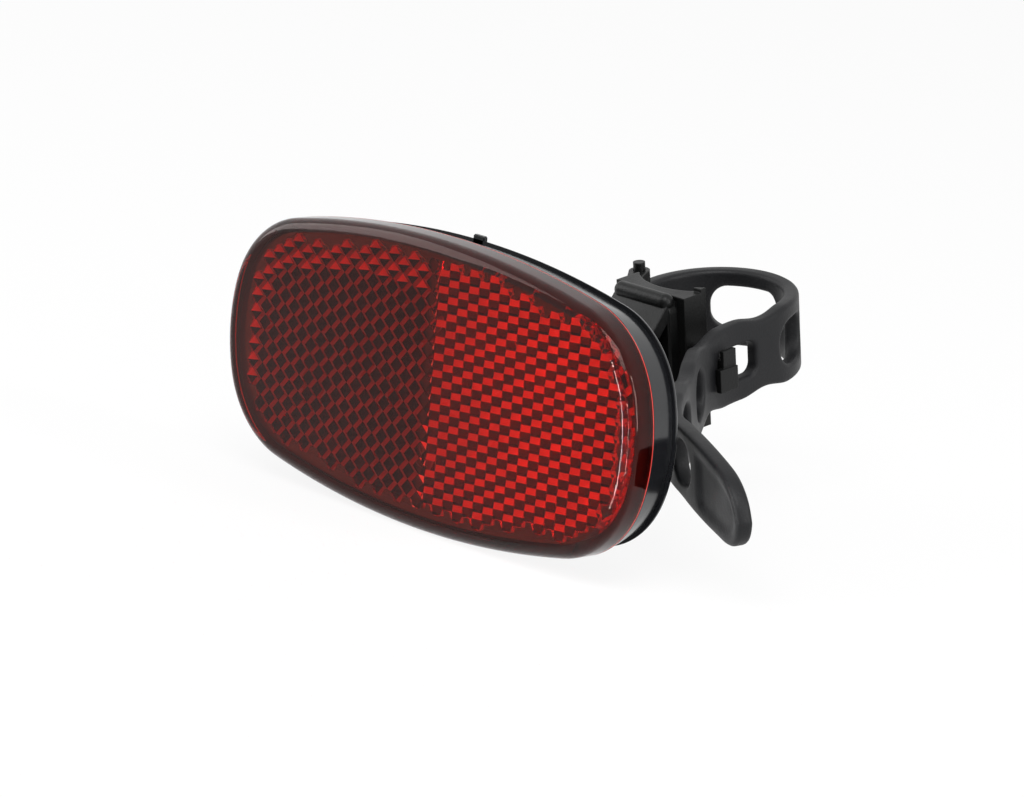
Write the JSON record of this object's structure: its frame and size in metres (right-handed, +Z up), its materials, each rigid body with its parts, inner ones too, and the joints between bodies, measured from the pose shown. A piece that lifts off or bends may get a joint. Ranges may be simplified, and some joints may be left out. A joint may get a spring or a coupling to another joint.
{
  "type": "rear reflector",
  "caption": "Red prism reflector in a dark housing, carried by a short ribbed arm in front of a saddle that a hooked rubber strap holds on a bicycle's seat post.",
  "frame": {"origin": "on the seat post's axis, halfway up the strap that closes on it", "axes": "+X along the reflector's width, -Y the way the reflector faces, +Z up; the post's axis leans 10 degrees from +Z towards -Y"},
  "size_m": [0.1234, 0.0862, 0.0506],
  "materials": {
    "red_acrylic": "clear red, glossy",
    "housing_plastic": "smooth, glossy",
    "bracket_plastic": "fine matte",
    "black_rubber": "soft matte",
    "screw_steel": "zinc plated"
  },
  "bodies": {
    "root": {"reflector_lens": "red_acrylic", "rear_housing": "housing_plastic", "bracket_arm": "bracket_plastic", "foot_screws": "screw_steel", "post_saddle": "bracket_plastic", "saddle_screw": "screw_steel", "rubber_strap": "black_rubber", "strap_pin": "bracket_plastic"}
  },
  "joints": []
}
